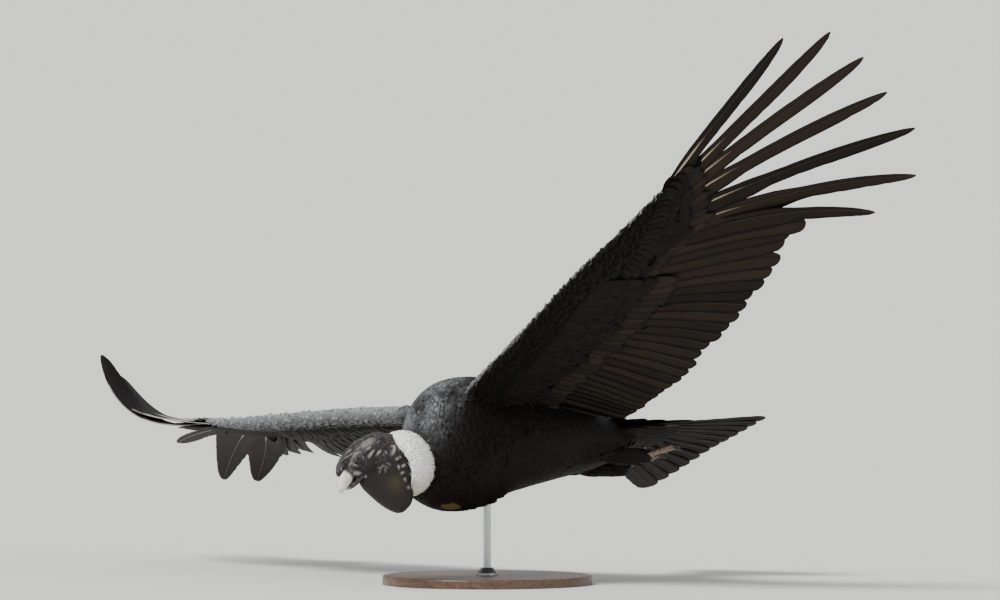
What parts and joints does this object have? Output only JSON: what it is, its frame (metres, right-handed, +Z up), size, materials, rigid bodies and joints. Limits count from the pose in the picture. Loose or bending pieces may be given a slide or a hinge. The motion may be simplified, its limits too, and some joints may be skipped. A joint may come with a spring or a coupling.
{
  "type": "andean condor museum model",
  "caption": "Life-size Andean condor model, soaring in a bank with spread flight feathers, held over a flat round base by one short rod.",
  "frame": {"origin": "centre of the base's underside", "axes": "+Z up, +X towards the tip of the bird's left wing, -Y the way the bird flies"},
  "size_m": [2.6781, 1.1948, 1.3344],
  "materials": {
    "black_feather": "black feather with a soft grey sheen",
    "dark_skin": "wrinkled dark grey-brown skin",
    "white_down": "soft white down",
    "ivory_horn": "smooth ivory horn",
    "brown_eye": "wet dark brown eye",
    "foot_skin": "scaly pinkish-grey skin",
    "claw_horn": "black horn",
    "stand_wood": "dark stained and satin varnished",
    "stand_steel": "brushed steel"
  },
  "bodies": {
    "root": {"torso": "black_feather", "neck": "dark_skin", "wattle": "dark_skin", "head": "dark_skin", "comb": "dark_skin", "bill_upper": "ivory_horn", "bill_lower": "ivory_horn", "eye_left": "brown_eye", "eye_right": "brown_eye", "ruff": "white_down", "wing_left_arm": "black_feather", "wing_left_hand": "black_feather", "wing_right_arm": "black_feather", "wing_right_hand": "black_feather", "tail": "black_feather", "thigh_left": "black_feather", "thigh_right": "black_feather", "foot_left": "foot_skin", "foot_right": "foot_skin", "claw_left_1": "claw_horn", "claw_left_2": "claw_horn", "claw_left_3": "claw_horn", "claw_left_4": "claw_horn", "claw_right_1": "claw_horn", "claw_right_2": "claw_horn", "claw_right_3": "claw_horn", "claw_right_4": "claw_horn", "stand_base": "stand_wood", "stand_rod": "stand_steel", "stand_collar": "stand_steel"}
  },
  "joints": []
}
